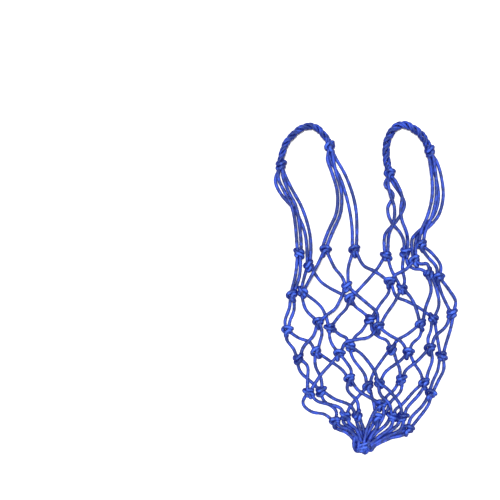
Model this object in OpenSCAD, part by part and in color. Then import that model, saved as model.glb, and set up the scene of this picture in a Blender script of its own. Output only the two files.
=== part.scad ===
// Mesh ball bag, laid flat: eight cords braided into two carrying grips and
// knotted in pairs into a net of open diamonds that closes in a bunch.
// +Z is up from the surface it lies on, +Y points to the grips.

/* [Bag] */
// Width of the laid-out bag, from the leftmost to the rightmost cord
bag_w = 264; // [240:1:340]
// Length of the laid-out bag, from the bunch to the top of the grips
bag_l = 480; // [440:1:620]

/* [Cord] */
// Diameter of the round braided cord
cord_d = 4.5; // [3.5:0.1:5.5]
// Space between two cords that cross
layer_gap = 0.4; // [0.2:0.1:1]
// Space between the lowest cords and the surface
floor_gap = 0.4; // [0.3:0.1:1]
// Length of a sealed cord end that sticks out of a knot
tail_len = 10; // [7:0.5:14]

/* [Knots] */
// Diameter of a net knot
knot_d = 12; // [10:0.5:15]
// Diameter of the knot at each end of a grip
end_knot_d = 15; // [13.5:0.5:18]
// Diameter of the bunch that closes the bottom of the net
bunch_d = 16; // [14:0.5:20]
// Width of that bunch
bunch_w = 27; // [24:1:34]
// Outer width of a loop under the bunch
loop_w = 13; // [11:0.5:15]

/* [Grips] */
// Distance from the middle of a braided grip to the middle of its cords
braid_r = 3.5; // [3.4:0.1:4.5]
// Length of one full turn of the braid
braid_pitch = 60; // [50:1:80]
// Space between the parts of a cord on the two sides of a joint
joint_gap = 0.6; // [0.4:0.1:1.2]

/* [Hidden] */
// Every route below is laid out for this width and length
LAID_W = 264;
LAID_L = 480;
CORD_SIDES = 8;
KNOT_FN = 48;
PORT_X = cord_d / 2 + 0.3;   // half the space between two cords in a knot
PORT_LIFT = 0.35 * cord_d;   // how far a front cord enters a knot above its middle
PORT_Y = knot_d * 0.26;      // how far from the middle of a knot a cord ends
PORT_LEAD = knot_d / 2 + 1;  // where a cord leaves a knot straight
KNOT_Z = knot_d / 2;
END_KNOT_Z = end_knot_d / 2;
RING_STEP = 2.6 * cord_d;    // space between the rings of a free cord
BRAID_STEP = 4;              // space between the rings of a braided cord
CORD_COLOR = [0.16, 0.27, 0.72];
KNOT_COLOR = [0.12, 0.21, 0.62];
TAIL_COLOR = [0.07, 0.10, 0.36];

// Hinge line of each handle, and how far above it the handle's cords begin
LEFT_HINGE_Y = 51;
LEFT_SEAM = 9;
RIGHT_HINGE_Y = 51;
RIGHT_SEAM = 16;

// Knots of the mouth row, left to right
KNOTS_1 = [[-96, 49], [-82, 31], [-58, 53], [-16, 53], [30, 45], [58, 51], [81, 60], [71, 38]];
// Knots of the second row, left to right
KNOTS_2 = [[-106, -12], [-91, -7], [-27, 1], [-22, -17], [35, 7], [53, -2], [91, 20], [106, 13]];
// Knots of the third row, left to right
KNOTS_3 = [[-113, -63], [-68, -51], [-51, -59], [7, -46], [19, -58], [80, -54], [98, -45], [125, -38]];
// Knots of the fourth row, left to right
KNOTS_4 = [[-97, -103], [-71, -94], [-38, -97], [-22, -86], [38, -89], [62, -95], [93, -89], [110, -99]];
// Knots of the fifth row, left to right
KNOTS_5 = [[-82, -152], [-64, -150], [-23, -133], [4, -144], [20, -138], [52, -133], [85, -139], [94, -155]];
// Knots of the last row, left to right
KNOTS_6 = [[-44, -195], [-29, -186], [-12, -185], [23, -170], [16, -189], [39, -187], [54, -187], [62, -206]];

// Strands from one row of knots to the next. Each is [upper knot, lower knot,
// side it leaves on, side it arrives on, layer it lies in, points it passes].
STRANDS_1 = [
    [0, 0, -1, -1, 0, [[-101, 17]]],
    [0, 0, 1, 1, 0, [[-95, 17]]],
    [1, 1, -1, -1, 0, [[-89, 11]]],
    [1, 3, 1, -1, 0, [[-65, 8], [-53, -1], [-38, -9]]],
    [2, 1, -1, 1, 2, [[-69, 33], [-82, 9]]],
    [2, 2, 1, -1, 1, [[-45, 28], [-34, 14]]],
    [3, 2, -1, 1, 1, [[-25, 27]]],
    [3, 4, 1, -1, 1, [[-3, 31], [14, 22]]],
    [4, 3, -1, 1, 0, [[16, 24], [-6, -1]]],
    [4, 5, 1, -1, 0, [[38, 24], [45, 11]]],
    [5, 5, -1, 1, 0, [[54, 27], [57, 9]]],
    [5, 6, 1, -1, 0, [[61, 34], [70, 26], [80, 25]]],
    [7, 4, -1, 1, 1, [[58, 25], [43, 17]]],
    [7, 6, 1, 1, 1, [[80, 33], [89, 33]]],
    [6, 7, -1, -1, 1, [[90, 43], [102, 29]]],
    [6, 7, 1, 1, 0, [[97, 48], [109, 31]]],
];
STRANDS_2 = [
    [0, 0, -1, -1, 0, [[-110, -31], [-116, -49]]],
    [0, 0, 1, 1, 0, [[-103, -33], [-109, -50]]],
    [1, 1, -1, -1, 0, [[-86, -33]]],
    [1, 2, 1, -1, 0, [[-65, -28], [-57, -43]]],
    [2, 1, -1, 1, 2, [[-36, -16], [-44, -31], [-57, -41]]],
    [2, 4, 1, -1, 2, [[-11, -13], [2, -24], [16, -38]]],
    [3, 2, -1, 1, 0, [[-27, -31], [-38, -43]]],
    [3, 3, 1, -1, 0, [[-14, -29], [-5, -36]]],
    [4, 3, -1, 1, 0, [[34, -8], [22, -25]]],
    [4, 6, 1, -1, 0, [[45, -14], [60, -21], [77, -30]]],
    [5, 4, -1, 1, 1, [[42, -22], [29, -41]]],
    [5, 5, 1, -1, 1, [[67, -18], [75, -38]]],
    [6, 5, -1, 1, 2, [[94, -4], [86, -30]]],
    [6, 6, 1, 1, 1, [[102, -2], [106, -25]]],
    [7, 7, -1, -1, 0, [[110, -8], [117, -24]]],
    [7, 7, 1, 1, 1, [[121, -5], [130, -21]]],
];
STRANDS_3 = [
    [0, 0, -1, -1, 0, [[-113, -78], [-104, -90]]],
    [0, 1, 1, -1, 0, [[-97, -74], [-80, -81]]],
    [1, 0, -1, 1, 1, [[-75, -70], [-89, -86]]],
    [1, 1, 1, 1, 1, [[-63, -67], [-66, -80]]],
    [2, 3, 1, -1, 1, [[-36, -70], [-28, -74]]],
    [2, 2, -1, -1, 0, [[-50, -79]]],
    [3, 3, -1, 1, 0, [[-5, -64], [-15, -73]]],
    [3, 4, 1, -1, 0, [[10, -63], [20, -73], [31, -78]]],
    [4, 2, -1, 1, 2, [[5, -72], [-14, -76], [-29, -80]]],
    [4, 5, 1, -1, 1, [[35, -70], [52, -80]]],
    [5, 4, -1, 1, 0, [[61, -69], [46, -78]]],
    [5, 5, 1, 1, 0, [[79, -72], [68, -83]]],
    [6, 6, -1, -1, 0, [[95, -63], [91, -75]]],
    [6, 7, 1, -1, 0, [[103, -66], [106, -83]]],
    [7, 6, -1, 1, 1, [[116, -57], [100, -73]]],
    [7, 7, 1, 1, 1, [[123, -60], [116, -83]]],
];
STRANDS_4 = [
    [0, 0, 1, -1, 1, [[-84, -115], [-84, -134]]],
    [0, 1, -1, -1, 0, [[-94, -123], [-77, -139]]],
    [1, 1, -1, 1, 0, [[-72, -115], [-64, -133]]],
    [1, 2, 1, -1, 0, [[-55, -105], [-34, -120]]],
    [2, 0, -1, 1, 1, [[-51, -112], [-66, -129]]],
    [2, 2, 1, 1, 1, [[-27, -110], [-21, -120]]],
    [3, 3, -1, -1, 0, [[-17, -105], [-1, -127]]],
    [3, 4, 1, -1, 1, [[-4, -99], [13, -122]]],
    [4, 3, -1, 1, 0, [[26, -104], [11, -127]]],
    [4, 5, 1, -1, 1, [[45, -108], [49, -118]]],
    [5, 4, -1, 1, 0, [[51, -107], [30, -123]]],
    [5, 6, 1, -1, 0, [[71, -111], [80, -125]]],
    [6, 5, -1, 1, 1, [[75, -107], [58, -121]]],
    [6, 6, 1, 1, 1, [[96, -107], [90, -125]]],
    [7, 7, -1, -1, 0, [[105, -121], [98, -137]]],
    [7, 7, 1, 1, 1, [[113, -119], [105, -136]]],
];
STRANDS_5 = [
    [0, 0, -1, -1, 0, [[-90, -169], [-78, -181], [-59, -185]]],
    [0, 1, 1, -1, 1, [[-70, -165], [-52, -170], [-37, -175]]],
    [1, 0, -1, 1, 0, [[-59, -166], [-43, -179]]],
    [1, 2, 1, -1, 1, [[-45, -162], [-23, -171]]],
    [2, 2, -1, 1, 1, [[-26, -149], [-12, -166]]],
    [2, 3, 1, -1, 2, [[-12, -148], [8, -161]]],
    [3, 1, -1, 1, 0, [[-9, -158], [-22, -174]]],
    [3, 4, 1, -1, 0, [[10, -160], [13, -172]]],
    [4, 5, -1, -1, 2, [[21, -155], [34, -169]]],
    [4, 6, 1, -1, 1, [[37, -153], [50, -171]]],
    [5, 3, -1, 1, 0, [[42, -149], [31, -159]]],
    [5, 4, 1, 1, 0, [[51, -152], [37, -167], [30, -182]]],
    [6, 5, -1, 1, 0, [[71, -151], [54, -170], [44, -178]]],
    [6, 6, 1, 1, 1, [[76, -157], [60, -175]]],
    [7, 7, -1, -1, 1, [[82, -172], [66, -189]]],
    [7, 7, 1, 1, 0, [[91, -172], [77, -191]]],
];
// Strands from the last row into the bunch. Each is [knot, side it leaves on,
// layer, points it passes, the point where it ends in the bunch].
BUNCH_AT = [-2, -228];
STRANDS_6 = [
    [0, -1, 0, [[-46, -208], [-35, -221]], [-14, -226.8]],
    [0, 1, 1, [[-40, -207], [-28, -218]], [-12, -225]],
    [1, -1, 0, [[-32, -200], [-21, -214]], [-9, -225]],
    [1, 1, 1, [[-26, -199], [-17, -210]], [-7, -224]],
    [2, -1, 0, [[-15, -198], [-9, -211]], [-4, -224]],
    [2, 1, 1, [[-9, -198], [-4, -210]], [-1, -223]],
    [3, -1, 2, [[9, -181], [3, -196], [-2, -210]], [-4, -224]],
    [3, 1, 1, [[28, -187], [20, -205]], [4, -224]],
    [4, -1, 0, [[11, -200], [5, -212]], [1.5, -224]],
    [4, 1, 2, [[16, -202], [9, -213]], [2, -224]],
    [5, -1, 0, [[33, -200], [20, -214]], [6.5, -225]],
    [5, 1, 2, [[38, -200], [24, -213]], [7, -226]],
    [6, -1, 1, [[46, -199], [30, -216]], [8, -228]],
    [6, 1, 2, [[51, -204], [34, -219]], [7, -231]],
    [7, -1, 0, [[50, -217], [30, -226]], [10, -229]],
    [7, 1, 1, [[60, -219], [36, -232]], [8, -234]],
];

// Cord ends that stick out of knots: [row, knot, sideways run]
TAILS = [[1, 5, 2], [2, 3, -2], [2, 5, 0], [4, 1, 3], [5, 0, 3], [5, 2, -4], [5, 5, -2]];

// Loops of cord under the bunch: [x from its middle, height above the surface]
LOOPS = [[-8.3, 3], [1, 8], [5, 3]];

// Knots at the two ends of each grip
LEFT_ENDS = [[-122, 176], [-51, 202]];
RIGHT_ENDS = [[35, 163], [93, 196]];

// Middle of each braided grip between its two end knots
LEFT_GRIP = [
    [-122, 186], [-119, 196], [-115, 207], [-106, 218], [-94, 228],
    [-81, 232], [-70, 229], [-61, 220], [-54, 211],
];
RIGHT_GRIP = [
    [32, 175], [30, 188], [30, 202], [33, 215], [42, 229],
    [55, 234], [68, 229], [80, 220], [88, 208],
];

// Cords of each handle. Each is [end knot, place in it, mouth knot, side it
// arrives on, layer, where it crosses the seam, points it passes].
LEFT_LEGS = [
    [0, [-1, 1], 0, -1, 1, -99, [[-126, 157], [-117, 137], [-107, 117], [-102, 94]]],
    [0, [1, 1], 0, 1, 1, -93, [[-119, 158], [-111, 137], [-101, 117], [-96, 94]]],
    [0, [1, -1], 1, 1, 0, -79, [[-115, 159], [-106, 141], [-92, 115], [-82, 85]]],
    [0, [-1, -1], 1, -1, 0, -85, [[-130, 153], [-122, 134], [-101, 109], [-89, 84]]],
    [1, [-1, 1], 2, -1, 1, -61, [[-55, 184], [-48, 163], [-41, 137], [-42, 108], [-54, 80]]],
    [1, [1, 1], 2, 1, 1, -55, [[-47, 186], [-42, 163], [-35, 137], [-36, 107], [-48, 78]]],
    [1, [-1, -1], 3, -1, 0, -19, [[-50, 182], [-37, 159], [-28, 133], [-22, 107], [-19, 83]]],
    [1, [1, -1], 3, 1, 0, -13, [[-42, 185], [-29, 162], [-18, 133], [-13, 108], [-12, 82]]],
];
RIGHT_LEGS = [
    [0, [-1, 1], 4, 1, 2, 33, [[32, 149], [35, 133], [41, 115], [40, 94], [34, 78]]],
    [0, [1, -1], 4, -1, 0, 27, [[40, 150], [51, 134], [57, 118], [46, 96], [30, 78]]],
    [0, [-1, -1], 5, -1, 1, 55, [[28, 147], [40, 133], [32, 114], [36, 96], [50, 78]]],
    [0, [1, 1], 5, 1, 2, 61, [[43, 152], [52, 130], [50, 112], [52, 96], [58, 80]]],
    [1, [-1, 1], 6, -1, 1, 78, [[93, 179], [96, 154], [96, 130], [90, 104], [81, 82]]],
    [1, [1, 1], 6, 1, 1, 84, [[99, 179], [102, 154], [102, 129], [96, 102], [87, 82]]],
    [1, [-1, -1], 7, -1, 0, 67, [[96, 177], [103, 155], [106, 128], [100, 105], [80, 91], [69, 81]]],
    [1, [1, -1], 7, 1, 0, 73, [[103, 182], [110, 160], [113, 131], [107, 105], [90, 86], [76, 79]]],
];

KNOTS = [[], KNOTS_1, KNOTS_2, KNOTS_3, KNOTS_4, KNOTS_5, KNOTS_6];
STRANDS = [[], STRANDS_1, STRANDS_2, STRANDS_3, STRANDS_4, STRANDS_5];

// ---- where things lie ----

function laid(p) = [p.x * bag_w / LAID_W, p.y * bag_l / LAID_L];
function at_height(p, z) = [p.x, p.y, z];
function layer_z(layer) = floor_gap + cord_d / 2 + layer * (cord_d + layer_gap);
function knot_at(row, i) = at_height(laid(KNOTS[row][i]), KNOT_Z);
function in_layer(points, layer) = [for (p = points) at_height(laid(p), layer_z(layer))];

// The two points with which a cord leaves a knot (dir -1) or enters it (dir 1)
function port(row, i, side, layer, run) =
    knot_at(row, i) + [side * PORT_X, run, (2 * min(layer, 1) - 1) * PORT_LIFT];
function port_end(row, i, side, layer, dir) = port(row, i, side, layer, dir * PORT_Y);
function port_lead(row, i, side, layer, dir) = port(row, i, side, layer, dir * PORT_LEAD);

// ---- smooth routes ----

function unit(v) = v / norm(v);
function route_dir(p, i) =
    unit(p[min(i + 1, len(p) - 1)] - p[max(i - 1, 0)]);
function hermite(a, b, da, db, t) =
    let (span = norm(b - a))
    (2 * t ^ 3 - 3 * t ^ 2 + 1) * a + (t ^ 3 - 2 * t ^ 2 + t) * span * da
    + (3 * t ^ 2 - 2 * t ^ 3) * b + (t ^ 3 - t ^ 2) * span * db;
function smooth(p, step) = [
    for (i = [0 : len(p) - 2])
        let (n = max(1, round(norm(p[i + 1] - p[i]) / step)))
        for (k = [0 : n - 1])
            hermite(p[i], p[i + 1], route_dir(p, i), route_dir(p, i + 1), k / n),
    p[len(p) - 1],
];
function across(dir) = unit(cross(dir, [0, 0, 1]));
function ring_point(p, i, angle, r) =
    let (dir = route_dir(p, i), side = across(dir))
    p[i] + r * (cos(angle) * side + sin(angle) * cross(side, dir));
function run_lengths(p) = [
    for (i = 0, s = 0; i < len(p); s = s + (i + 1 < len(p) ? norm(p[i + 1] - p[i]) : 0), i = i + 1) s,
];

// A round cord along the points of a route
module cord(p) {
    last = len(p) - 1;
    points = [
        for (i = [0 : last], j = [0 : CORD_SIDES - 1])
            ring_point(p, i, 360 * j / CORD_SIDES, cord_d / 2),
    ];
    walls = [
        for (i = [0 : last - 1], j = [0 : CORD_SIDES - 1])
            let (a = i * CORD_SIDES + j, b = i * CORD_SIDES + (j + 1) % CORD_SIDES)
            each [[a, b, b + CORD_SIDES], [a, b + CORD_SIDES, a + CORD_SIDES]],
    ];
    start_cap = [for (j = [CORD_SIDES - 1 : -1 : 0]) j];
    end_cap = [for (j = [0 : CORD_SIDES - 1]) last * CORD_SIDES + j];
    polyhedron(points, concat([start_cap], walls, [end_cap]), convexity = 6);
}

// ---- knots ----

// Two turns of cord around a core, drawn tight along Y
module knot(d) {
    sphere(d = 0.86 * d, $fn = KNOT_FN);
    for (side = [-1, 1])
        translate([0, side * 0.45 * cord_d, 0])
            rotate([90, 0, 0])
                rotate_extrude($fn = KNOT_FN)
                    translate([(d - cord_d) / 2, 0])
                        circle(d = cord_d, $fn = 24);
}

module knots(row, picked) {
    color(KNOT_COLOR)
        for (i = picked)
            translate(knot_at(row, i)) knot(knot_d);
}

module mouth_knots_left() { knots(1, [0 : 3]); }
module mouth_knots_right() { knots(1, [4 : 7]); }
module knot_row(row) { knots(row, [0 : 7]); }

// Ends of cords that were cut and sealed, lying on top of their knots
function tail_z() = KNOT_Z + PORT_LIFT + cord_d + layer_gap;
module cord_tails() {
    color(TAIL_COLOR)
        for (t = TAILS)
            translate(at_height(knot_at(t[0], t[1]), tail_z()))
                rotate([90, 0, atan2(t[2], tail_len)])
                    cylinder(d = cord_d, h = tail_len, $fn = 32);
}

// ---- net ----

function strand_route(row, s) = concat(
    [port_end(row, s[0], s[2], s[4], -1), port_lead(row, s[0], s[2], s[4], -1)],
    in_layer(s[5], s[4]),
    [port_lead(row + 1, s[1], s[3], s[4], 1), port_end(row + 1, s[1], s[3], s[4], 1)]
);
module net_strands(row, layer) {
    color(CORD_COLOR)
        for (s = STRANDS[row])
            if (min(s[4], 1) == layer) cord(smooth(strand_route(row, s), RING_STEP));
}

// ---- bunch ----

function bunch_middle() = at_height(laid(BUNCH_AT), bunch_d / 2);
function from_bunch(p, layer) =
    at_height(laid(BUNCH_AT) + (p - BUNCH_AT), bunch_d / 2 + (layer - 1) * (cord_d + layer_gap));
function bunch_route(s) = concat(
    [port_end(6, s[0], s[1], s[2], -1), port_lead(6, s[0], s[1], s[2], -1)],
    in_layer(s[3], s[2]),
    [from_bunch(s[4], s[2])]
);
module bunch_strands(layer) {
    color(CORD_COLOR)
        for (s = STRANDS_6)
            if (s[2] == layer) cord(smooth(bunch_route(s), RING_STEP));
}
module bunch_wrap() {
    color(KNOT_COLOR)
        translate(bunch_middle())
            hull()
                for (side = [-1, 1])
                    translate([side * (bunch_w - bunch_d) / 2, 0, 0])
                        sphere(d = bunch_d, $fn = 32);
}
module bunch_loops() {
    color(CORD_COLOR)
        for (l = LOOPS)
            translate([bunch_middle().x + l[0], bunch_middle().y - bunch_d / 2 + 1, l[1]])
                rotate_extrude($fn = KNOT_FN)
                    translate([(loop_w - cord_d) / 2, 0])
                        circle(d = cord_d, $fn = 24);
}

// ---- handles ----

function hinge_y(right) = right ? RIGHT_HINGE_Y : LEFT_HINGE_Y;
function seam_y(right) = hinge_y(right) * bag_l / LAID_L + (right ? RIGHT_SEAM : LEFT_SEAM);
function seam_point(right, leg, dir) = [
    laid([leg[5], 0]).x,
    seam_y(right) + dir * joint_gap / 2,
    KNOT_Z,
];
function leg_start(ends, leg) =
    at_height(laid(ends[leg[0]]), END_KNOT_Z)
    + [leg[1][0] * PORT_X, -end_knot_d / 2 - 2 * joint_gap, leg[1][1] * PORT_X];
function leg_route(right, ends, leg) = concat(
    [leg_start(ends, leg)],
    in_layer(leg[6], leg[4]),
    [seam_point(right, leg, 1) + [0, cord_d, 0], seam_point(right, leg, 1)]
);
// The short run between a handle's hinge and the knot it is tied into
function mouth_route(right, leg) =
    let (
        start = seam_point(right, leg, -1),
        middle = knot_at(1, leg[2]) + [leg[3] * PORT_X, 0, 0],
        lead = middle + [0, PORT_LEAD, 0],
        end = middle + [0, PORT_Y, 0]
    )
    start.y - lead.y > cord_d ? [start, lead, end] : [start, end];

module leg_cords(right, ends, legs, picked) {
    color(CORD_COLOR)
        for (i = picked)
            cord(smooth(leg_route(right, ends, legs[i]), RING_STEP));
}
module mouth_cords(right, legs) {
    color(CORD_COLOR)
        for (leg = legs)
            cord(smooth(mouth_route(right, leg), RING_STEP));
}

function grip_line(ends, grip) = smooth(
    [for (p = concat([ends[0]], grip, [ends[1]])) at_height(laid(p), END_KNOT_Z)],
    BRAID_STEP
);
// One cord of a braid, turned by its own angle around the middle line
function braided(p, turn) =
    let (run = run_lengths(p))
    [for (i = [0 : len(p) - 1]) ring_point(p, i, turn + 360 * run[i] / braid_pitch, braid_r)];
module grip_cords(ends, grip, turns) {
    color(CORD_COLOR)
        for (turn = turns) cord(braided(grip_line(ends, grip), turn));
}
module end_knot(p) {
    color(KNOT_COLOR)
        translate(at_height(laid(p), END_KNOT_Z)) knot(end_knot_d);
}

mouth_knots_left();
mouth_knots_right();
knot_row(2);  // knots_row_2
knot_row(3);  // knots_row_3
knot_row(4);  // knots_row_4
knot_row(5);  // knots_row_5
knot_row(6);  // knots_row_6
net_strands(1, 0);  // strands_1_2_back
net_strands(1, 1);  // strands_1_2_front
net_strands(2, 0);  // strands_2_3_back
net_strands(2, 1);  // strands_2_3_front
net_strands(3, 0);  // strands_3_4_back
net_strands(3, 1);  // strands_3_4_front
net_strands(4, 0);  // strands_4_5_back
net_strands(4, 1);  // strands_4_5_front
net_strands(5, 0);  // strands_5_6_back
net_strands(5, 1);  // strands_5_6_front
bunch_strands(0);  // bunch_strands_back
bunch_strands(1);  // bunch_strands_middle
bunch_strands(2);  // bunch_strands_front
bunch_wrap();
bunch_loops();
cord_tails();
mouth_cords(false, LEFT_LEGS);  // mouth_cords_left
mouth_cords(true, RIGHT_LEGS);  // mouth_cords_right
leg_cords(false, LEFT_ENDS, LEFT_LEGS, [0, 1]);  // left_leg_outer_front
leg_cords(false, LEFT_ENDS, LEFT_LEGS, [2, 3]);  // left_leg_outer_back
leg_cords(false, LEFT_ENDS, LEFT_LEGS, [4, 5]);  // left_leg_inner_front
leg_cords(false, LEFT_ENDS, LEFT_LEGS, [6, 7]);  // left_leg_inner_back
leg_cords(true, RIGHT_ENDS, RIGHT_LEGS, [0, 3]);  // right_leg_inner_front
leg_cords(true, RIGHT_ENDS, RIGHT_LEGS, [1, 2]);  // right_leg_inner_back
leg_cords(true, RIGHT_ENDS, RIGHT_LEGS, [4, 5]);  // right_leg_outer_front
leg_cords(true, RIGHT_ENDS, RIGHT_LEGS, [6, 7]);  // right_leg_outer_back
grip_cords(LEFT_ENDS, LEFT_GRIP, [0, 180]);  // left_grip_cords_a
grip_cords(LEFT_ENDS, LEFT_GRIP, [90, 270]);  // left_grip_cords_b
end_knot(LEFT_ENDS[0]);  // left_grip_outer_knot
end_knot(LEFT_ENDS[1]);  // left_grip_inner_knot
grip_cords(RIGHT_ENDS, RIGHT_GRIP, [0, 180]);  // right_grip_cords_a
grip_cords(RIGHT_ENDS, RIGHT_GRIP, [90, 270]);  // right_grip_cords_b
end_knot(RIGHT_ENDS[0]);  // right_grip_inner_knot
end_knot(RIGHT_ENDS[1]);  // right_grip_outer_knot
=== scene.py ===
"""Mesh ball bag laid flat: eight braided cords, two braided grips, a knotted net and a bunch."""

import math
import bpy
import numpy as np
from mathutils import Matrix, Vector


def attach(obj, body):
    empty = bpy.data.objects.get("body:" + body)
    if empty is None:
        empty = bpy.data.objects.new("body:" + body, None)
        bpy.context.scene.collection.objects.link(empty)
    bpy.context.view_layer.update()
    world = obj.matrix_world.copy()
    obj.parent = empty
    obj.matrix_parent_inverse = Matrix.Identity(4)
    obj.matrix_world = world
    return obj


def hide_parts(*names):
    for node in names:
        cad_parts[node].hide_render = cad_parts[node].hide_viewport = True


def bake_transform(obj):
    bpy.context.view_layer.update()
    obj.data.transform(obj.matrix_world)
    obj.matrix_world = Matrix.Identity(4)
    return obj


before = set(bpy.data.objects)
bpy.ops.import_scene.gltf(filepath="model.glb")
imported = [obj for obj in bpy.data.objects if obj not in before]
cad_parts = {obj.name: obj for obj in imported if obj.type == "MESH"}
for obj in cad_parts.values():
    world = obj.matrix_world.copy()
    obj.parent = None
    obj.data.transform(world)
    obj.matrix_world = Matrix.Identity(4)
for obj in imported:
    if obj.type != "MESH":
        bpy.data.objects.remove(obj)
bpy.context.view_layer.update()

# ---------------------------------------------------------------- camera

WIDE = 0.725  # width of what the camera sees, at the floor, in metres
LENS = 85.0
SENSOR = 36.0
OVER = (-0.16675, 0.0529)  # the point of the floor straight below the camera

eye = bpy.data.cameras.new("camera")
eye.lens = LENS
eye.sensor_width = SENSOR
camera = bpy.data.objects.new("camera", eye)
camera.location = (*OVER, WIDE * LENS / SENSOR)
bpy.context.scene.collection.objects.link(camera)
bpy.context.scene.camera = camera

# ---------------------------------------------------------------- routes of the cords
# Lengths here are millimetres, laid out as in the part's own source.
# A layer is 0 at the back, 1 or 2 above it. A side is -1 for left and 1 for right.

MM = 0.001
CORD_D = 4.5  # width of a cord
SLACK = 1.09 * CORD_D  # a cord that nothing pulls on swells a little
CROWDED = 1.18 * CORD_D  # cords crowded together in the bunch are pressed wide
LAYER = 4.9  # from one layer of cords to the next
LOWEST = 3.0  # height of the middle of the lowest cords
KNOT_Z = 6.9  # height of the middle of a net knot
END_KNOT_Z = 7.5  # height of the middle of the knots at the grips' ends
BUNCH_Z = 8  # height of the middle of the bunch
KNOT_REACH = 2.1  # how far beside the middle of a knot a strand ends
KNOT_DEPTH = 1.6  # how far above or below its middle it ends
IN_FRONT, BEHIND = 1.5, -1.3  # and how far over or under it
END_REACH = 2.3  # the same in the knots at the grips' ends
END_DEPTH = 4.5
END_LIFT = 2.0
CURVE_STEP = 1.5  # between two points of a smoothed route
LEAN_SHARE = 0.6  # a knot leans by this share of the lean of its cords
TAIL_Z = 11.6  # height of the cut ends, which lie on top of the strands

# Knots, row by row from the mouth down
KNOTS_1 = [
    [-96, 49], [-82, 31], [-58, 53], [-16, 53],
    [30, 45], [58, 51], [81, 60], [71, 38],
]
KNOTS_2 = [
    [-106, -12], [-91, -7], [-27, 1], [-22, -17],
    [35, 7], [53, -2], [91, 20], [106, 13],
]
KNOTS_3 = [
    [-113, -63], [-68, -51], [-51, -59], [7, -46],
    [19, -58], [80, -54], [98, -45], [125, -38],
]
KNOTS_4 = [
    [-97, -103], [-71, -94], [-38, -97], [-22, -86],
    [38, -89], [62, -95], [93, -89], [110, -99],
]
KNOTS_5 = [
    [-82, -152], [-64, -150], [-23, -133], [4, -144],
    [20, -138], [52, -133], [85, -139], [94, -155],
]
KNOTS_6 = [
    [-44, -195], [-29, -186], [-12, -185], [23, -170],
    [16, -189], [39, -187], [54, -187], [62, -206],
]

# Strands between rows:
# upper knot, lower knot, side it leaves on, side it arrives on, layer, points
STRANDS_1 = [
    [0, 0, -1, -1, 0, [[-101, 17]]],
    [0, 0, 1, 1, 0, [[-95, 17]]],
    [1, 1, -1, -1, 0, [[-89, 11]]],
    [1, 3, 1, -1, 0, [[-65, 8], [-53, -1], [-38, -9]]],
    [2, 1, -1, 1, 2, [[-69, 33], [-82, 9]]],
    [2, 2, 1, -1, 1, [[-45, 28], [-34, 14]]],
    [3, 2, -1, 1, 1, [[-25, 27]]],
    [3, 4, 1, -1, 1, [[-3, 31], [14, 22]]],
    [4, 3, -1, 1, 0, [[16, 24], [-6, -1]]],
    [4, 5, 1, -1, 0, [[38, 24], [45, 11]]],
    [5, 5, -1, 1, 0, [[54, 27], [57, 9]]],
    [5, 6, 1, -1, 0, [[61, 34], [70, 26], [80, 25]]],
    [7, 4, -1, 1, 1, [[58, 25], [43, 17]]],
    [7, 6, 1, 1, 1, [[80, 33], [89, 33]]],
    [6, 7, -1, -1, 1, [[90, 43], [102, 29]]],
    [6, 7, 1, 1, 0, [[97, 48], [109, 31]]],
]
STRANDS_2 = [
    [0, 0, -1, -1, 0, [[-110, -31], [-116, -49]]],
    [0, 0, 1, 1, 0, [[-103, -33], [-109, -50]]],
    [1, 1, -1, -1, 0, [[-86, -33]]],
    [1, 2, 1, -1, 0, [[-65, -28], [-57, -43]]],
    [2, 1, -1, 1, 2, [[-36, -16], [-44, -31], [-57, -41]]],
    [2, 4, 1, -1, 2, [[-11, -13], [2, -24], [16, -38]]],
    [3, 2, -1, 1, 0, [[-27, -31], [-38, -43]]],
    [3, 3, 1, -1, 0, [[-14, -29], [-5, -36]]],
    [4, 3, -1, 1, 0, [[34, -8], [22, -25]]],
    [4, 6, 1, -1, 0, [[45, -14], [60, -21], [77, -30]]],
    [5, 4, -1, 1, 1, [[42, -22], [29, -41]]],
    [5, 5, 1, -1, 1, [[67, -18], [75, -38]]],
    [6, 5, -1, 1, 2, [[94, -4], [86, -30]]],
    [6, 6, 1, 1, 1, [[102, -2], [106, -25]]],
    [7, 7, -1, -1, 0, [[110, -8], [117, -24]]],
    [7, 7, 1, 1, 1, [[121, -5], [130, -21]]],
]
STRANDS_3 = [
    [0, 0, -1, -1, 0, [[-113, -78], [-104, -90]]],
    [0, 1, 1, -1, 0, [[-97, -74], [-80, -81]]],
    [1, 0, -1, 1, 1, [[-75, -70], [-89, -86]]],
    [1, 1, 1, 1, 1, [[-63, -67], [-66, -80]]],
    [2, 3, 1, -1, 1, [[-36, -70], [-28, -74]]],
    [2, 2, -1, -1, 0, [[-50, -79]]],
    [3, 3, -1, 1, 0, [[-5, -64], [-15, -73]]],
    [3, 4, 1, -1, 0, [[10, -63], [20, -73], [31, -78]]],
    [4, 2, -1, 1, 2, [[5, -72], [-14, -76], [-29, -80]]],
    [4, 5, 1, -1, 1, [[35, -70], [52, -80]]],
    [5, 4, -1, 1, 0, [[61, -69], [46, -78]]],
    [5, 5, 1, 1, 0, [[79, -72], [68, -83]]],
    [6, 6, -1, -1, 0, [[95, -63], [91, -75]]],
    [6, 7, 1, -1, 0, [[103, -66], [106, -83]]],
    [7, 6, -1, 1, 1, [[116, -57], [100, -73]]],
    [7, 7, 1, 1, 1, [[123, -60], [116, -83]]],
]
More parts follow.
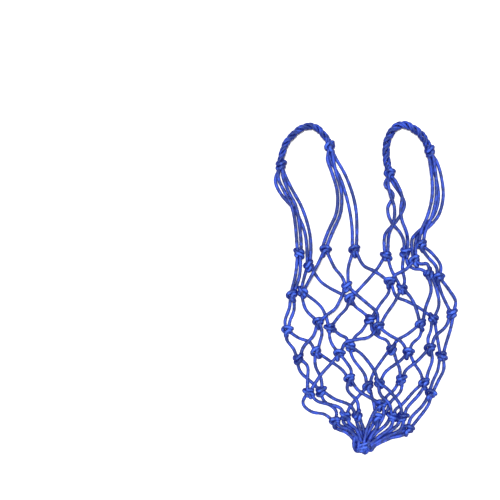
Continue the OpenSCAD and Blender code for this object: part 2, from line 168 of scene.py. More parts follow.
STRANDS_4 = [
    [0, 0, 1, -1, 1, [[-84, -115], [-84, -134]]],
    [0, 1, -1, -1, 0, [[-94, -123], [-77, -139]]],
    [1, 1, -1, 1, 0, [[-72, -115], [-64, -133]]],
    [1, 2, 1, -1, 0, [[-55, -105], [-34, -120]]],
    [2, 0, -1, 1, 1, [[-51, -112], [-66, -129]]],
    [2, 2, 1, 1, 1, [[-27, -110], [-21, -120]]],
    [3, 3, -1, -1, 0, [[-17, -105], [-1, -127]]],
    [3, 4, 1, -1, 1, [[-4, -99], [13, -122]]],
    [4, 3, -1, 1, 0, [[26, -104], [11, -127]]],
    [4, 5, 1, -1, 1, [[45, -108], [49, -118]]],
    [5, 4, -1, 1, 0, [[51, -107], [30, -123]]],
    [5, 6, 1, -1, 0, [[71, -111], [80, -125]]],
    [6, 5, -1, 1, 1, [[75, -107], [58, -121]]],
    [6, 6, 1, 1, 1, [[96, -107], [90, -125]]],
    [7, 7, -1, -1, 0, [[105, -121], [98, -137]]],
    [7, 7, 1, 1, 1, [[113, -119], [105, -136]]],
]
STRANDS_5 = [
    [0, 0, -1, -1, 0, [[-90, -169], [-78, -181], [-59, -185]]],
    [0, 1, 1, -1, 1, [[-70, -165], [-52, -170], [-37, -175]]],
    [1, 0, -1, 1, 0, [[-59, -166], [-43, -179]]],
    [1, 2, 1, -1, 1, [[-45, -162], [-23, -171]]],
    [2, 2, -1, 1, 1, [[-26, -149], [-12, -166]]],
    [2, 3, 1, -1, 2, [[-12, -148], [8, -161]]],
    [3, 1, -1, 1, 0, [[-9, -158], [-22, -174]]],
    [3, 4, 1, -1, 0, [[10, -160], [13, -172]]],
    [4, 5, -1, -1, 2, [[21, -155], [34, -169]]],
    [4, 6, 1, -1, 1, [[37, -153], [50, -171]]],
    [5, 3, -1, 1, 0, [[42, -149], [31, -159]]],
    [5, 4, 1, 1, 0, [[51, -152], [37, -167], [30, -182]]],
    [6, 5, -1, 1, 0, [[71, -151], [54, -170], [44, -178]]],
    [6, 6, 1, 1, 1, [[76, -157], [60, -175]]],
    [7, 7, -1, -1, 1, [[82, -172], [66, -189]]],
    [7, 7, 1, 1, 0, [[91, -172], [77, -191]]],
]

# Strands into the bunch, drawn in close: knot, side, layer, points, where it ends
STRANDS_6 = [
    [0, -1, 0, [[-42, -205], [-28, -211], [-18, -220]], [-14, -231]],
    [0, 1, 1, [[-37, -201], [-25, -206], [-14, -216]], [-10, -228]],
    [1, -1, 0, [[-31, -197], [-20, -207]], [-9, -225]],
    [1, 1, 1, [[-24, -196], [-13, -207]], [-6, -224]],
    [2, -1, 0, [[-12, -197], [-7, -210]], [-4, -224]],
    [2, 1, 1, [[-6, -197], [-2, -209]], [-1, -223]],
    [3, -1, 2, [[12, -181], [5, -196], [0, -210]], [-3, -224]],
    [3, 1, 1, [[26, -186], [18, -201], [8, -213]], [2, -226]],
    [4, -1, 0, [[11, -200], [4, -212]], [0, -224]],
    [4, 1, 2, [[15, -203], [8, -214]], [3, -224]],
    [5, -1, 0, [[30, -200], [16, -212]], [5, -224]],
    [5, 1, 2, [[35, -203], [21, -214]], [6, -226]],
    [6, -1, 1, [[44, -202], [25, -214]], [6, -226]],
    [6, 1, 2, [[50, -205], [31, -215]], [7, -229]],
    [7, -1, 0, [[50, -211], [31, -217]], [8, -228]],
    [7, 1, 1, [[54, -214], [35, -219]], [7, -232]],
]

# Cut ends: row, knot, sideways run
TAILS = [[1, 5, 2], [2, 3, -2], [2, 5, 0], [4, 1, 3], [5, 0, 3], [5, 2, -4], [5, 5, -2]]

# Knots at the two ends of each grip
LEFT_ENDS = [[-122, 176], [-51, 202]]
RIGHT_ENDS = [[35, 163], [93, 196]]

# Middle of each braided grip
LEFT_GRIP = [
    [-122, 186], [-119, 196], [-115, 207], [-106, 218], [-94, 228],
    [-81, 232], [-70, 229], [-61, 220], [-54, 211],
]
RIGHT_GRIP = [
    [32, 175], [30, 188], [30, 202], [33, 215], [42, 229],
    [55, 234], [68, 229], [80, 220], [88, 208],
]

# Cords of each handle:
# end knot, place in it, mouth knot, side, layer, x where it meets its mouth cord, points
LEFT_LEGS = [
    [0, [-1, 1], 0, -1, 1, -99, [[-126, 157], [-117, 137], [-107, 117], [-102, 94]]],
    [0, [1, 1], 0, 1, 1, -93, [[-119, 158], [-111, 137], [-101, 117], [-96, 94]]],
    [0, [1, -1], 1, 1, 0, -79, [[-115, 159], [-106, 141], [-92, 115], [-82, 85]]],
    [0, [-1, -1], 1, -1, 0, -85, [[-130, 153], [-122, 134], [-101, 109], [-89, 84]]],
    [1, [-1, 1], 2, -1, 1, -61, [[-55, 184], [-48, 163], [-41, 137], [-42, 108], [-54, 80]]],
    [1, [1, 1], 2, 1, 1, -55, [[-47, 186], [-42, 163], [-35, 137], [-36, 107], [-48, 78]]],
    [1, [-1, -1], 3, -1, 0, -19, [[-50, 182], [-37, 159], [-28, 133], [-22, 107], [-19, 83]]],
    [1, [1, -1], 3, 1, 0, -13, [[-42, 185], [-29, 162], [-18, 133], [-13, 108], [-12, 82]]],
]
RIGHT_LEGS = [
    [0, [-1, 1], 4, 1, 2, 33, [[32, 149], [35, 133], [41, 115], [40, 94], [34, 78]]],
    [0, [1, -1], 4, -1, 0, 27, [[40, 150], [51, 134], [57, 118], [46, 96], [30, 78]]],
    [0, [-1, -1], 5, -1, 1, 55, [[28, 147], [40, 133], [32, 114], [36, 96], [50, 78]]],
    [0, [1, 1], 5, 1, 2, 61, [[43, 152], [52, 130], [50, 112], [52, 96], [58, 80]]],
    [1, [-1, 1], 6, -1, 1, 78, [[93, 179], [96, 154], [96, 130], [90, 104], [81, 82]]],
    [1, [1, 1], 6, 1, 1, 84, [[99, 179], [102, 154], [102, 129], [96, 102], [87, 82]]],
    [1, [-1, -1], 7, -1, 0, 67, [[96, 177], [103, 155], [106, 128], [100, 105], [87, 89], [74, 77]]],
    [1, [1, -1], 7, 1, 0, 73, [[103, 182], [110, 160], [113, 131], [107, 105], [95, 89], [81, 77]]],
]

KNOTS = [[], KNOTS_1, KNOTS_2, KNOTS_3, KNOTS_4, KNOTS_5, KNOTS_6]
STRANDS = [[], STRANDS_1, STRANDS_2, STRANDS_3, STRANDS_4, STRANDS_5, STRANDS_6]
LEFT_SEAM_Y = 60.0  # where the legs of each handle meet the mouth cords
RIGHT_SEAM_Y = 67.0


def layer_z(layer):
    """Height of the middle of a cord in a layer."""
    return LOWEST + layer * LAYER


def in_layer(points, layer):
    """Points of a route at the height of its layer."""
    return [(x, y, layer_z(layer)) for x, y in points]


def smooth(points):
    """The route as an even run of points on one smooth curve."""
    p = np.array(points, float)
    ahead = p[np.minimum(np.arange(len(p)) + 1, len(p) - 1)]
    behind = p[np.maximum(np.arange(len(p)) - 1, 0)]
    heading = ahead - behind
    heading /= np.linalg.norm(heading, axis=1)[:, None]
    run = []
    for a, b, da, db in zip(p[:-1], p[1:], heading[:-1], heading[1:]):
        span = np.linalg.norm(b - a)
        count = max(1, round(span / CURVE_STEP))
        t = np.arange(count)[:, None] / count
        run.append(
            (2 * t**3 - 3 * t**2 + 1) * a
            + (t**3 - 2 * t**2 + t) * span * da
            + (3 * t**2 - 2 * t**3) * b
            + (t**3 - t**2) * span * db
        )
    run.append(p[-1:])
    return np.concatenate(run)


def knot_lean(row, i):
    """How far a knot leans, from the mean direction of the cords through it."""
    here = np.array(KNOTS[row][i], float)
    ways = []
    if row == 1:
        ways += [here - leg[6][-1] for leg in LEFT_LEGS + RIGHT_LEGS if leg[2] == i]
        ways += [s[5][0] - here for s in STRANDS_1 if s[0] == i]
    else:
        ways += [here - s[5][-1] for s in STRANDS[row - 1] if s[1] == i]
        after = 3 if row == 6 else 5
        ways += [np.array(s[after][0]) - here for s in STRANDS[row] if s[0] == i]
    mean = sum(w / np.linalg.norm(w) for w in np.array(ways, float))
    return LEAN_SHARE * math.atan2(mean[0], -mean[1])


LEANS = [[knot_lean(row, i) for i in range(len(KNOTS[row]))] for row in range(7)]


def tied(row, i, side, layer, way):
    """Where a strand ends inside a knot; way is 1 above the knot and -1 below it."""
    x, y = KNOTS[row][i]
    turn = LEANS[row][i]
    out, up = KNOT_REACH * side, KNOT_DEPTH * way
    z = KNOT_Z + (IN_FRONT if layer else BEHIND)
    return (
        x + out * math.cos(turn) - up * math.sin(turn),
        y + out * math.sin(turn) + up * math.cos(turn),
        z,
    )


def net_routes(row):
    """The strands below a row of knots."""
    return [
        [tied(row, a, sa, layer, -1), *in_layer(points, layer), tied(row + 1, b, sb, layer, 1)]
        for a, b, sa, sb, layer, points in STRANDS[row]
    ]


def bunch_routes():
    """The strands from the last row of knots into the bunch."""
    return [
        [
            tied(6, a, side, layer, -1),
            *in_layer(points, layer),
            (*end, BUNCH_Z + (layer - 1) * LAYER),
        ]
        for a, side, layer, points, end in STRANDS_6
    ]


def leg_routes(ends, legs, seam_y, picked):
    """Cords of a handle, from the knot at the grip's end down into the mouth knots."""
    routes = []
    for end, (across, lift), mouth, side, layer, seam_x, points in [legs[i] for i in picked]:
        x, y = ends[end]
        routes.append(
            [
                (x + END_REACH * across, y - END_DEPTH, END_KNOT_Z + END_LIFT * lift),
                *in_layer(points, layer),
                (seam_x, seam_y, KNOT_Z),
                tied(1, mouth, side, layer, 1),
            ]
        )
    return routes


# ---------------------------------------------------------------- node trees

LUMP_SCALE = 150.0  # lumps of a cord, per metre
ROUND_SIDES = 14  # flat sides of a round cord


class Wire:
    """One socket of a node tree. Sums, products and powers with it add Math nodes."""

    def __init__(self, tree, socket=None):
        self.tree, self.socket = tree, socket

    def node(self, kind, settings=None, inputs=None, output=0):
        """Adds any node: its settings first, then the values or wires of its sockets."""
        made = self.tree.nodes.new(kind)
        for name, value in (settings or {}).items():
            setattr(made, name, value)
        for name, value in (inputs or {}).items():
            for each in value if isinstance(value, list) else [value]:
                if isinstance(each, Wire):
                    self.tree.links.new(each.socket, made.inputs[name])
                else:
                    made.inputs[name].default_value = each
        return Wire(self.tree, made.outputs[output] if made.outputs else None)

    def maths(self, operation, *values):
        return self.node("ShaderNodeMath", {"operation": operation}, dict(enumerate(values)))

    def vector(self, operation, *values):
        return self.node("ShaderNodeVectorMath", {"operation": operation}, dict(enumerate(values)))

    def scaled(self, factor):
        return self.node("ShaderNodeVectorMath", {"operation": "SCALE"}, {0: self, "Scale": factor})

    def mix(self, a, b):
        """Colour a where this value is 0, and colour b where it is 1."""
        return self.node(
            "ShaderNodeMix", {"data_type": "RGBA", "clamp_factor": True}, {0: self, 6: a, 7: b}, 2
        )

    def noise(self, where, scale, detail):
        return self.node(
            "ShaderNodeTexNoise", {}, {"Vector": where, "Scale": scale, "Detail": detail}
        )

    def clamp(self):
        return self.node("ShaderNodeClamp", {}, {"Value": self})

    def other(self, output):
        """Another output of the same node."""
        return Wire(self.tree, self.socket.node.outputs[output])

    def __add__(self, o):
        return self.maths("ADD", self, o)

    def __radd__(self, o):
        return self.maths("ADD", o, self)

    def __sub__(self, o):
        return self.maths("SUBTRACT", self, o)

    def __rsub__(self, o):
        return self.maths("SUBTRACT", o, self)

    def __mul__(self, o):
        return self.maths("MULTIPLY", self, o)

    def __truediv__(self, o):
        return self.maths("DIVIDE", self, o)

    def __mod__(self, o):
        return self.maths("FLOORED_MODULO", self, o)

    def __pow__(self, o):
        return self.maths("POWER", self, o)


def shape_tree(name, sizes):
    """An empty geometry tree with a Geometry input and named inputs, and a wire into it."""
    tree = bpy.data.node_groups.new(name, "GeometryNodeTree")
    tree.interface.new_socket("Geometry", in_out="OUTPUT", socket_type="NodeSocketGeometry")
    tree.interface.new_socket("Geometry", in_out="INPUT", socket_type="NodeSocketGeometry")
    for label, kind in sizes:
        tree.interface.new_socket(label, in_out="INPUT", socket_type="NodeSocket" + kind)
    return Wire(tree).node("NodeGroupInput")


def finish_tree(geometry, finish):
    """Ends a tree: real geometry, smooth, in one finish."""
    real = geometry.node("GeometryNodeRealizeInstances", {}, {"Geometry": geometry})
    soft = real.node("GeometryNodeSetShadeSmooth", {}, {"Geometry": real})
    done = soft.node("GeometryNodeSetMaterial", {}, {"Geometry": soft, "Material": finish})
    done.node("NodeGroupOutput", {}, {0: done})
    return done.tree


def captured(geometry, kind, value):
    """Keeps a value on the points of a geometry: the geometry, and the value later on."""
    keep = geometry.tree.nodes.new("GeometryNodeCaptureAttribute")
    keep.capture_items.new(kind, "kept")
    geometry.tree.links.new(geometry.socket, keep.inputs[0])
    geometry.tree.links.new(value.socket, keep.inputs[1])
    return Wire(geometry.tree, keep.outputs[0]), Wire(geometry.tree, keep.outputs[1])


def point_value(wire, kind, name):
    """A value that a geometry's points carry under a name."""
    return wire.node("GeometryNodeInputNamedAttribute", {"data_type": kind}, {"Name": name})


def cord_around(curve, width, sides):
    """A round cord along a curve.

    The braid attribute holds the angle round it, as cosine and sine, and the run along it.
    """
    spline = curve.node("GeometryNodeSplineParameter")
    curve, along = captured(curve, "FLOAT", spline.other("Length") / width)
    ring = curve.node(
        "GeometryNodeCurvePrimitiveCircle", {}, {"Resolution": sides, "Radius": width * 0.5}
    )
    angle = spline.other("Factor") * (2 * math.pi)
    cosine, sine = angle.maths("COSINE", angle), angle.maths("SINE", angle)
    turn = angle.node("ShaderNodeCombineXYZ", {}, {0: cosine, 1: sine})
    ring, turn = captured(ring, "VECTOR", turn)
    swell = point_value(curve, "FLOAT", "swell")
    mesh = curve.node(
        "GeometryNodeCurveToMesh",
        {},
        {"Curve": curve, "Profile Curve": ring, "Scale": swell, "Fill Caps": True},
    )
    lift = along.node("ShaderNodeCombineXYZ", {}, {2: along})
    return mesh.node(
        "GeometryNodeStoreNamedAttribute",
        {"data_type": "FLOAT_VECTOR", "domain": "POINT"},
        {"Geometry": mesh, "Name": "braid", "Value": turn.vector("ADD", turn, lift)},
    )


def even_rings(start):
    """The routes as curves, with a point wherever a ring of the cord comes."""
    curve = start.node("GeometryNodeMeshToCurve", {}, {"Mesh": start})
    return curve.node(
        "GeometryNodeResampleCurve",
        {"mode": "LENGTH"},
        {"Curve": curve, "Length": start.other("Ring spacing")},
    )


def cord_tree():
    """Cords that follow routes, a little uneven in width."""
    start = shape_tree(
        "cords_along_routes",
        [
            ("Cord width", "Float"),
            ("Sides", "Int"),
            ("Ring spacing", "Float"),
            ("Unevenness", "Float"),
            ("Finish", "Material"),
        ],
    )
    curve = even_rings(start)
    swell = point_value(curve, "FLOAT", "swell")
    lumps = curve.node("ShaderNodeTexNoise", {}, {"Scale": LUMP_SCALE, "Detail": 1.0})
    uneven = 1.0 + (lumps - 0.5) * start.other("Unevenness")
    curve = curve.node(
        "GeometryNodeStoreNamedAttribute",
        {"data_type": "FLOAT", "domain": "POINT"},
        {"Geometry": curve, "Name": "swell", "Value": swell * uneven},
    )
    mesh = cord_around(curve, start.other("Cord width"), start.other("Sides"))
    return finish_tree(mesh, start.other("Finish"))


def grip_tree():
    """Four cords laid round each other as two pairs.

    Each swings from side to side, and over and under.
    """
    start = shape_tree(
        "braided_grip",
        [
            ("Cord width", "Float"),
            ("Sides", "Int"),
            ("Ring spacing", "Float"),
            ("Swing", "Float"),
            ("Lift", "Float"),
            ("Turn length", "Float"),
            ("Pair gap", "Float"),
            ("Finish", "Material"),
        ],
    )
    curve = even_rings(start)
    curve = curve.node(
        "GeometryNodeDuplicateElements", {"domain": "SPLINE"}, {"Geometry": curve, "Amount": 4}
    )
    which = curve.other("Duplicate Index")
    run = curve.node("GeometryNodeSplineParameter").other("Length")
    pair = (which % 2.0) * start.other("Pair gap")
    phase = run * (2 * math.pi) / start.other("Turn length") + which * (math.pi / 2) - pair
    up = curve.node("ShaderNodeCombineXYZ", {}, {2: 1.0})
    heading = curve.node("GeometryNodeInputTangent")
    beside = heading.vector("NORMALIZE", heading.vector("CROSS_PRODUCT", heading, up))
    swing = phase.maths("SINE", phase) * start.other("Swing")
    rise = phase.maths("COSINE", phase) * start.other("Lift")
    offset = beside.vector("ADD", beside.scaled(swing), up.scaled(rise))
    curve = curve.node("GeometryNodeSetPosition", {}, {"Geometry": curve, "Offset": offset})
    mesh = cord_around(curve, start.other("Cord width"), start.other("Sides"))
    return finish_tree(mesh, start.other("Finish"))


def knot_tree(styles):
    """Copies of the tied knots at points.

    Each is turned, sized and picked by the point's own values.
    """
    start = shape_tree("knots_at_points", [("Finish", "Material")])
    kinds = [
        start.node("GeometryNodeObjectInfo", {}, {"Object": style, "As Instance": True}, "Geometry")
        for style in styles
    ]
    choice = start.node("GeometryNodeJoinGeometry", {}, {0: kinds})
    turn = point_value(start, "FLOAT_VECTOR", "turn")
    style = point_value(start, "INT", "style")
    size = point_value(start, "FLOAT", "size")
    placed = start.node(
        "GeometryNodeInstanceOnPoints",
        {},
        {
            "Points": start,
            "Instance": choice,
            "Pick Instance": True,
            "Instance Index": style,
            "Rotation": turn.node("FunctionNodeEulerToRotation", {}, {0: turn}),
            "Scale": size,
        },
    )
    return finish_tree(placed, start.other("Finish"))


def shaped(name, source, tree, values):
    """The plain mesh that a tree makes of a source mesh, as a new object."""
    holder = bpy.data.objects.new(name + "_source", source)
    bpy.context.scene.collection.objects.link(holder)
    shape = holder.modifiers.new("shape", "NODES")
    shape.node_group = tree
    for item in tree.interface.items_tree:
        if item.item_type == "SOCKET" and item.in_out == "INPUT" and item.name in values:
            shape[item.identifier] = values[item.name]
    graph = bpy.context.evaluated_depsgraph_get()
    mesh = bpy.data.meshes.new_from_object(
        holder.evaluated_get(graph), preserve_all_data_layers=True, depsgraph=graph
    )
    bpy.data.objects.remove(holder)
    mesh.name = name
    made = bpy.data.objects.new(name, mesh)
    bpy.context.scene.collection.objects.link(made)
    return made


def route_mesh(routes, swell=None):
    """Routes as chains of edges, with how thick the cord is at each point."""
    points, edges, swells = [], [], []
    for route in routes:
        run = smooth(route) * MM
        edges += [(len(points) + k, len(points) + k + 1) for k in range(len(run) - 1)]
        points += [tuple(p) for p in run]
        along = np.linspace(0, 1, len(run))
        swells += list(np.ones(len(run)) if swell is None else swell(along))
    mesh = bpy.data.meshes.new("routes")
    mesh.from_pydata(points, edges, [])
    mesh.attributes.new("swell", "FLOAT", "POINT").data.foreach_set("value", np.array(swells, "f"))
    return mesh


# ---------------------------------------------------------------- finishes

COLUMNS = 10.0  # columns of stitches round a cord
STITCH = 0.35  # length of a stitch, in cord widths
SLANT = 0.8  # how far a stitch leans across its column
DYE_SCALE = 26.0  # slow changes of the dye, per metre
RUB_SCALE = 140.0  # darker and paler spots
FIBRE_SCALE = 2400.0  # single filaments
RELIEF = 0.22 * MM  # height of a stitch
LUMP_RELIEF = 0.3 * MM  # height of the lumps of a melted end


def linear(r, g, b):
    """A colour given as it is seen, as a shader colour."""
    return tuple(
        c / 12.92 if c <= 0.04045 else ((c + 0.055) / 1.055) ** 2.4 for c in (r, g, b)
    ) + (1.0,)


YARN = linear(0.18, 0.30, 0.82)
PAINTED_LIT_KNOT_YARN = linear(0.29, 0.45, 0.97)  # paler yarn on the knots: painted highlight, a lit copy of the cord yarn
DARK_YARN = linear(0.02, 0.04, 0.27)  # where the dye is deepest
GROOVE_SHADE = linear(0.02, 0.04, 0.28)  # painted shade between two stitches
# painted shade between the stitches of a knot, darker than on the cords
KNOT_GROOVE_SHADE = linear(0.01, 0.02, 0.24)
PAINTED_HIGHLIGHT = linear(0.40, 0.56, 1.0)  # painted highlight on top of a stitch
PAINTED_SIDE_SHADE = linear(0.03, 0.07, 0.48)  # painted shade on the sides and bottom of a cord
MELTED_DARK = linear(0.06, 0.09, 0.36)
MELTED_PALE = linear(0.16, 0.24, 0.66)


def new_finish(name):
    """A material with one shader, and a wire into its tree."""
    material = bpy.data.materials.new(name)
    material.use_nodes = True
    material.node_tree.nodes.clear()
    return material, Wire(material.node_tree)


def braided(name, yarn, groove_shade):
    """Hollow-braided cord: columns of slanted stitches round it, each leaning the other way. Its
    colour holds painted shade in the grooves and on the sides and bottom, and painted highlights on
    the stitch tops.
    """
    material, start = new_finish(name)
    turn = start.node("ShaderNodeAttribute", {"attribute_name": "braid"}, output="Vector")
    parts = turn.node("ShaderNodeSeparateXYZ", {}, {0: turn})
    around = parts.maths("ARCTAN2", parts.other(1), parts) / (2 * math.pi) + 0.5
    column = around.maths("FLOOR", around * COLUMNS)
    across = around * COLUMNS - column - 0.5
    lean = (column % 2.0) * 2.0 - 1.0
    along = parts.other(2) / STITCH + column * 0.5 + lean * across * SLANT
    place = along.maths("FRACT", along) - 0.5
    stitch = ((1.0 - across * across * 4.0) * (1.0 - place * place * 4.0)).clamp() ** 0.6
    where = start.node("ShaderNodeTexCoord", output="Object")
    dye = start.noise(where, DYE_SCALE, 4.0)
    fibre = start.noise(where, FIBRE_SCALE, 2.0)
    rubbed = start.noise(where, RUB_SCALE, 2.0)
    tone = (dye * 2.0 + rubbed * 5.0 - 2.9).clamp()
    # Painted shade: the grooves between stitches take the darker groove colour.
    body = (stitch * 1.25).clamp().mix(groove_shade, tone.mix(yarn, DARK_YARN))
    # Painted highlight: paler filaments on the tops of the stitches, only on faces turned up.
    painted_glint = ((stitch - 0.5) * 2.0).clamp() * (fibre * 1.2 + 0.1).clamp()
    # Painted shade: faces turned away from up, on the sides and bottom of the cord, take a darker
    # colour.
    side = start.node("ShaderNodeTexCoord", output="Normal")
    upper = side.node("ShaderNodeSeparateXYZ", {}, {0: side}).other(2)
    lit = (upper * 2.4 - 1.2).clamp()
    body = lit.mix(PAINTED_SIDE_SHADE, body)
    colour = (painted_glint * 0.6 * lit).mix(body, PAINTED_HIGHLIGHT)
    height = stitch + fibre * 0.12
    bump = start.node(
        "ShaderNodeBump", {}, {"Strength": 0.7, "Distance": RELIEF, "Height": height}
    )
    shader = start.node(
        "ShaderNodeBsdfPrincipled",
        {},
        {
            "Base Color": colour,
            "Roughness": 0.56 - stitch * 0.2 + fibre * 0.08,
            "Normal": bump,
            "Specular IOR Level": 0.2,
            "Sheen Weight": 0.02,
            "Sheen Roughness": 0.4,
            "Sheen Tint": (0.55, 0.66, 1.0, 1.0),
        },
    )
    start.node("ShaderNodeOutputMaterial", {}, {"Surface": shader})
    return material


def melted(name):
    """The hard tip where a cut cord was sealed with heat."""
    material, start = new_finish(name)
    where = start.node("ShaderNodeTexCoord", output="Object")
    lump = start.noise(where, 700.0, 4.0)
    soot = start.noise(where, 260.0, 2.0)
    colour = (soot * 1.6 - 0.3).clamp().mix(MELTED_DARK, MELTED_PALE)
    bump = start.node(
        "ShaderNodeBump", {}, {"Strength": 0.6, "Distance": LUMP_RELIEF, "Height": lump}
    )
    shader = start.node(
        "ShaderNodeBsdfPrincipled",
        {},
        {
            "Base Color": colour,
            "Roughness": 0.28 + lump * 0.25,
            "Normal": bump,
            "Specular IOR Level": 0.5,
        },
    )
    start.node("ShaderNodeOutputMaterial", {}, {"Surface": shader})
    return material


cord_finish = braided("braided_cord_blue", YARN, GROOVE_SHADE)
# The knots' finish is a paler, lit copy of the cord finish: painted highlight on the knots, with
# darker painted shade in its grooves.
knot_finish = braided("knot_blue_painted_highlight", PAINTED_LIT_KNOT_YARN, KNOT_GROOVE_SHADE)
end_finish = melted("sealed_end_dark")

# ---------------------------------------------------------------- making the pieces

cords = cord_tree()
braids = grip_tree()


def place(piece, body, slot, *nodes):
    """A finished piece rides on its body and stands for its CAD nodes."""
    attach(piece, body)
    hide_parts(*nodes)


def cord_piece(name, routes, finish=cord_finish, swell=None, width=SLACK):
    """Round cords along routes, as one mesh."""
    return shaped(
        name,
        route_mesh(routes, swell),
        cords,
        {
            "Cord width": width * MM,
            "Sides": ROUND_SIDES,
            "Ring spacing": 1.4 * MM,
            "Unevenness": 0.3,
            "Finish": finish,
        },
    )


for row in range(1, 6):
    name = f"{row}_{row + 1}"
    place(
        cord_piece(f"net_cords_{name}", net_routes(row)),
        "net",
        "cord",
        f"strands_{name}_back",
        f"strands_{name}_front",
    )

place(
    cord_piece("bunch_cords", bunch_routes(), width=CROWDED),
    "net",
    "cord",
    "bunch_strands_back",
    "bunch_strands_middle",
    "bunch_strands_front",
)

# Handles: the cords from the net up to the grips, which meet the mouth cords at the mouth of the bag
for name, ends, legs, seam_y, picked, body, nodes in [
    ("left_outer_cords", LEFT_ENDS, LEFT_LEGS, LEFT_SEAM_Y, range(4), "left_legs",
     ["left_leg_outer_front", "left_leg_outer_back", "mouth_cords_left"]),
    ("left_inner_cords", LEFT_ENDS, LEFT_LEGS, LEFT_SEAM_Y, range(4, 8), "left_legs",
     ["left_leg_inner_front", "left_leg_inner_back", "mouth_cords_left"]),
    ("right_inner_cords", RIGHT_ENDS, RIGHT_LEGS, RIGHT_SEAM_Y, range(4), "right_legs",
     ["right_leg_inner_front", "right_leg_inner_back", "mouth_cords_right"]),
    ("right_outer_cords", RIGHT_ENDS, RIGHT_LEGS, RIGHT_SEAM_Y, range(4, 8), "right_legs",
     ["right_leg_outer_front", "right_leg_outer_back", "mouth_cords_right"]),
]:
    piece = cord_piece(name, leg_routes(ends, legs, seam_y, picked))
    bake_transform(piece)
    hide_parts(*nodes)

# ---------------------------------------------------------------- knots

# Two ways a knot sits, as one cord's route through it, in cord widths
BAR_OVER_NOSE = [
    (-0.3, 0.35, -0.2), (0.5, 0.6, -0.9), (1.3, 0.75, -0.3), (1.25, 0.95, 0.5),
    (0.5, 1.1, 1.0), (-0.5, 1.0, 1.05), (-1.25, 0.6, 0.6), (-1.45, -0.05, 0.0),
    (-0.95, -0.55, -0.75), (0.0, -0.75, -0.95), (0.9, -0.4, -0.4), (1.1, 0.1, 0.45),
    (0.5, 0.2, 1.1), (-0.2, -0.3, 1.2), (-0.35, -1.1, 0.95), (-0.1, -1.85, 0.45),
    (0.25, -2.05, -0.2), (0.3, -1.5, -0.8),
]
LOOP_BESIDE_BAR = [
    (0.2, 0.5, -0.2), (-0.6, 0.7, -0.9), (-1.2, 0.3, -0.3), (-1.1, -0.2, 0.5),
    (-0.4, 0.05, 1.1), (0.5, 0.6, 1.1), (1.15, 1.0, 0.5), (1.3, 0.7, -0.3),
    (0.7, 0.1, -0.9), (-0.3, -0.5, -0.95), (-1.1, -1.0, -0.3), (-1.0, -1.5, 0.4),
    (-0.3, -1.45, 0.95), (0.35, -0.8, 1.15), (0.9, -0.35, 0.5), (0.95, -0.85, -0.3),
    (0.3, -1.25, -0.8),
]
TIGHT = 0.94 * CORD_D  # a knot's cord width across the bag
FLAT = 0.72 * CORD_D  # and through it, as knots lie flattened
NET_KNOT_SIZE = 1.1
END_KNOT_SIZE = 1.08


def knot_style(name, route):
    """One way of tying, as a piece to copy."""
    pulled = [(x * TIGHT, y * TIGHT, z * FLAT) for x, y, z in route]
    return cord_piece(name, [pulled], knot_finish)


styles = [
    knot_style("style_bar_over_nose", BAR_OVER_NOSE),
    knot_style("style_loop_beside_bar", LOOP_BESIDE_BAR),
]
knots = knot_tree(styles)


def knot_piece(name, places, body, *nodes):
    """Tied knots as one mesh; places holds each knot's point, turn, style and size."""
    spots = bpy.data.meshes.new("spots")
    spots.from_pydata([Vector(p) * MM for p, *_ in places], [], [])
    turns = spots.attributes.new("turn", "FLOAT_VECTOR", "POINT")
    turns.data.foreach_set("vector", np.array([t for _, t, *_ in places], "f").ravel())
    kinds = spots.attributes.new("style", "INT", "POINT")
    kinds.data.foreach_set("value", [s for _, _, s, _ in places])
    sizes = spots.attributes.new("size", "FLOAT", "POINT")
    sizes.data.foreach_set("value", np.array([z for *_, z in places], "f"))
    place(shaped(name, spots, knots, {"Finish": knot_finish}), body, "knot", *nodes)


def net_knot(row, i):
    """A knot of the net, tied and turned a little unlike its neighbours."""
    x, y = KNOTS[row][i]
    way = (row * 3 + i * 5) % 4
    turned_over = math.pi * (way == 3)
    turn = (0, turned_over, LEANS[row][i] + 0.35 * ((row + i) % 3 - 1))
    return ((x, y, KNOT_Z), turn, int(way in (1, 2)), NET_KNOT_SIZE)


knot_piece("left_mouth_ties", [net_knot(1, i) for i in range(4)], "net", "mouth_knots_left")
knot_piece("right_mouth_ties", [net_knot(1, i) for i in range(4, 8)], "net", "mouth_knots_right")
for row in range(2, 7):
    knot_piece(f"ties_row_{row}", [net_knot(row, i) for i in range(8)], "net", f"knots_row_{row}")

for name, at, turn, style, body, node in [
    ("left_outer_end_tie", LEFT_ENDS[0], -0.1, 0, "left_grip", "left_grip_outer_knot"),
    ("left_inner_end_tie", LEFT_ENDS[1], 0.4, 1, "left_grip", "left_grip_inner_knot"),
    ("right_inner_end_tie", RIGHT_ENDS[0], -0.1, 1, "right_grip", "right_grip_inner_knot"),
    ("right_outer_end_tie", RIGHT_ENDS[1], 0.3, 0, "right_grip", "right_grip_outer_knot"),
]:
    x, y = at
    tie = ((x, y + 0.5, END_KNOT_Z), (0, 0, turn), style, END_KNOT_SIZE)
    knot_piece(name, [tie], body, node)

for style in styles:
    bpy.data.objects.remove(style)

# ---------------------------------------------------------------- braided grips

for name, ends, line, width, body in [
    ("left_grip_braid", LEFT_ENDS, LEFT_GRIP, 3.0, "left_grip"),
    ("right_grip_braid", RIGHT_ENDS, RIGHT_GRIP, 3.7, "right_grip"),
]:
    route = [(x, y, END_KNOT_Z) for x, y in [ends[0], *line, ends[1]]]
    piece = shaped(
        name,
        route_mesh([route]),
        braids,
        {
            "Cord width": 4.2 * MM,
            "Sides": ROUND_SIDES,
            "Ring spacing": 1.2 * MM,
            "Swing": width * MM,
            "Lift": 3.0 * MM,
            "Turn length": 28 * MM,
            "Pair gap": 0.45,
            "Finish": cord_finish,
        },
    )
    place(piece, body, "cord", f"{body}_cords_a", f"{body}_cords_b")

# ---------------------------------------------------------------- bunch and cut ends


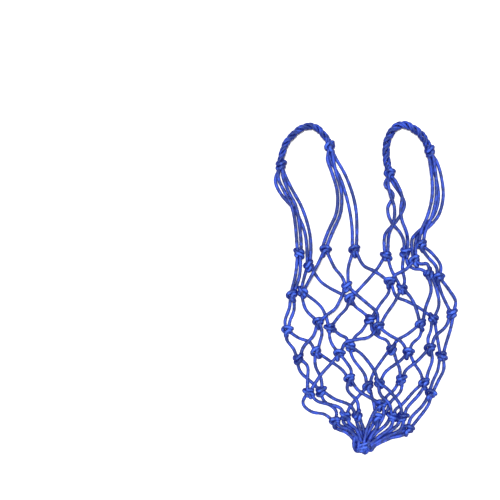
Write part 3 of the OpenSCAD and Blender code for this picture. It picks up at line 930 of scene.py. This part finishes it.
def ellipse(x, y, z, half_width, half_height, lean, slant):
    """A closed turn of cord round the bunch."""
    return [
        (
            x + half_width * math.cos(a),
            y + lean * math.cos(a) + slant * math.sin(a),
            z + half_height * math.sin(a),
        )
        for a in np.linspace(0, 2 * math.pi, 17)
    ]


wraps = [
    ellipse(0, -227.0, 8, 11.5, 5.2, 3.0, 1.2),
    ellipse(-3, -231.0, 8, 10.5, 4.8, 3.0, -0.6),
    ellipse(-6.5, -234.5, 7.5, 7.5, 4.4, 2.0, -1.6),
]
place(cord_piece("bunch_tie", wraps, knot_finish, width=CROWDED), "net", "knot", "bunch_wrap")

bights = [
    [
        (-15, -216, 7), (-17, -226, 7), (-15.5, -234, 6), (-11.5, -238, 6), (-9, -232, 8),
        (-10, -224, 9),
    ],
    [(-10, -222, 11), (-10.5, -231, 12), (-7, -237.5, 10), (-3.5, -233, 10), (-4, -225, 11)],
    [(-3, -226, 12.5), (-4.5, -235, 12), (-1.5, -240, 9), (2.5, -236.5, 10), (3, -228, 12)],
    [(5, -224, 12.5), (3.5, -231, 13), (7, -236, 10.5), (11, -231, 10), (12, -223, 10)],
    [(13, -219, 8), (14.5, -227, 8), (12, -231.5, 7), (8, -229, 7)],
]
place(cord_piece("bunch_bights", bights, width=CROWDED), "net", "cord", "bunch_loops")


def rounded_off(along):
    """How thick a sealed tip is along its length, from the cord to its closed end."""
    return np.sqrt(np.clip(1.04 - along**4, 0.02, 1))


tails, tips = [], []
for row, i, aside in TAILS:
    x, y = KNOTS[row][i]
    out, low = x + 0.95 * aside, y - 9.0
    end = (out, low, TAIL_Z)
    tails.append([(x, y + 1, 8.5), (x + 0.3 * aside, y - 4.0, 11.4), end])
    tips.append(
        [(out - 0.1 * aside, low + 0.9, 11.7), end, (out + 0.12 * aside, low - 1.5, 11.4)]
    )
place(cord_piece("cut_ends", tails), "net", "cord", "cord_tails")
sealed = cord_piece("sealed_tips", tips, end_finish, swell=rounded_off)
place(sealed, "net", "sealed_end", "cord_tails")

# ---------------------------------------------------------------- floor and light

FAR = 15  # half the width of the floor, in metres

corners = [(-FAR, -FAR, 0), (FAR, -FAR, 0), (FAR, FAR, 0), (-FAR, FAR, 0)]
floor_mesh = bpy.data.meshes.new("floor")
floor_mesh.from_pydata(corners, [], [(0, 1, 2, 3)])
floor = bpy.data.objects.new("floor", floor_mesh)
bpy.context.scene.collection.objects.link(floor)
floor_finish, start = new_finish("pale_floor")
matt = start.node(
    "ShaderNodeBsdfPrincipled",
    {},
    {"Base Color": (0.93, 0.93, 0.94, 1), "Roughness": 0.9, "Specular IOR Level": 0.1},
)
start.node("ShaderNodeOutputMaterial", {}, {"Surface": matt})
floor_mesh.materials.append(floor_finish)


def soft_light(name, at, spread, strength):
    """Even light from far off, which leaves the floor equally pale everywhere."""
    lamp = bpy.data.lights.new(name, "SUN")
    lamp.angle = math.radians(spread)
    lamp.energy = strength
    light = bpy.data.objects.new(name, lamp)
    light.location = at
    light.rotation_euler = Vector(at).to_track_quat("Z", "Y").to_euler()
    bpy.context.scene.collection.objects.link(light)


soft_light("key_light", (-0.3, 0.3, 2.3), 17, 4.6)
soft_light("fill_light", (0.9, -0.5, 1.2), 40, 0.6)

world = bpy.data.worlds.new("studio")
world.use_nodes = True
nodes, links = world.node_tree.nodes, world.node_tree.links
room = nodes["Background"]
room.inputs["Color"].default_value = (0.95, 0.97, 1.0, 1)
room.inputs["Strength"].default_value = 0.1
backdrop = nodes.new("ShaderNodeBackground")
backdrop.inputs["Color"].default_value = (1, 1, 1, 1)
backdrop.inputs["Strength"].default_value = 0.95
seen = nodes.new("ShaderNodeMixShader")
links.new(nodes.new("ShaderNodeLightPath").outputs["Is Camera Ray"], seen.inputs[0])
links.new(room.outputs[0], seen.inputs[1])
links.new(backdrop.outputs[0], seen.inputs[2])
links.new(seen.outputs[0], nodes["World Output"].inputs["Surface"])
bpy.context.scene.world = world
bpy.context.scene.view_settings.view_transform = "Standard"
